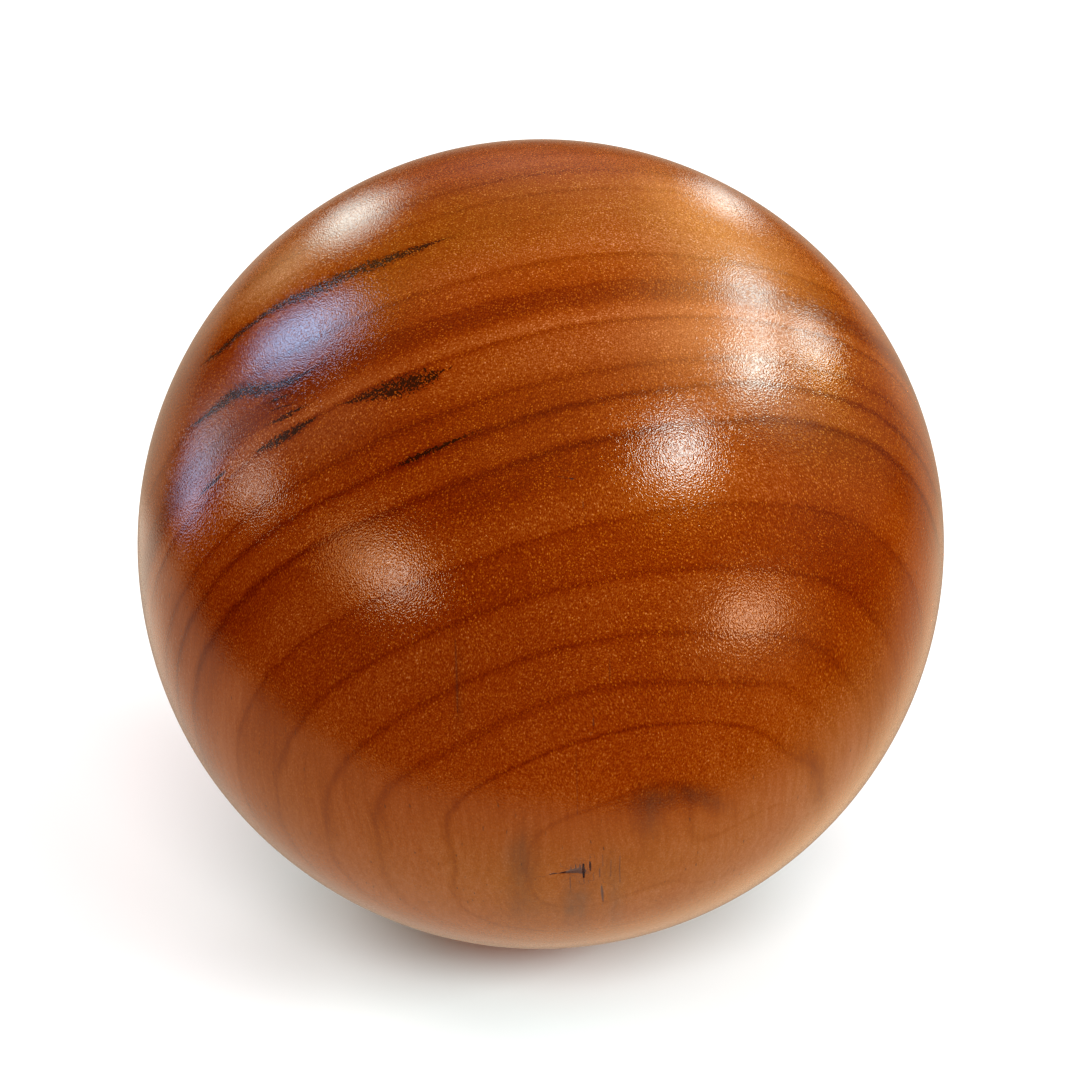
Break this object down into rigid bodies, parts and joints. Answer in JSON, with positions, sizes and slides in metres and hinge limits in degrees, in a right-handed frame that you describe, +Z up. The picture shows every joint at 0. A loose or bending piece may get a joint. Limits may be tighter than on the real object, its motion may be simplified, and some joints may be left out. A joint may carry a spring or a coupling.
{
  "type": "wooden ball",
  "caption": "Solid turned hardwood ball with a polished, oiled finish, plain all round, for the hand, a desk or a display ring.",
  "frame": {"origin": "centre of the ball", "axes": "+Z up as the ball lies, with the grain close to the Z axis, so that the growth rings close in curves low on the face towards -Y; +X to the right of that face"},
  "size_m": [0.06, 0.06, 0.06],
  "materials": {
    "wood": "polished, oiled red-brown hardwood with fine pores"
  },
  "bodies": {
    "root": {"ball": "wood"}
  },
  "joints": []
}
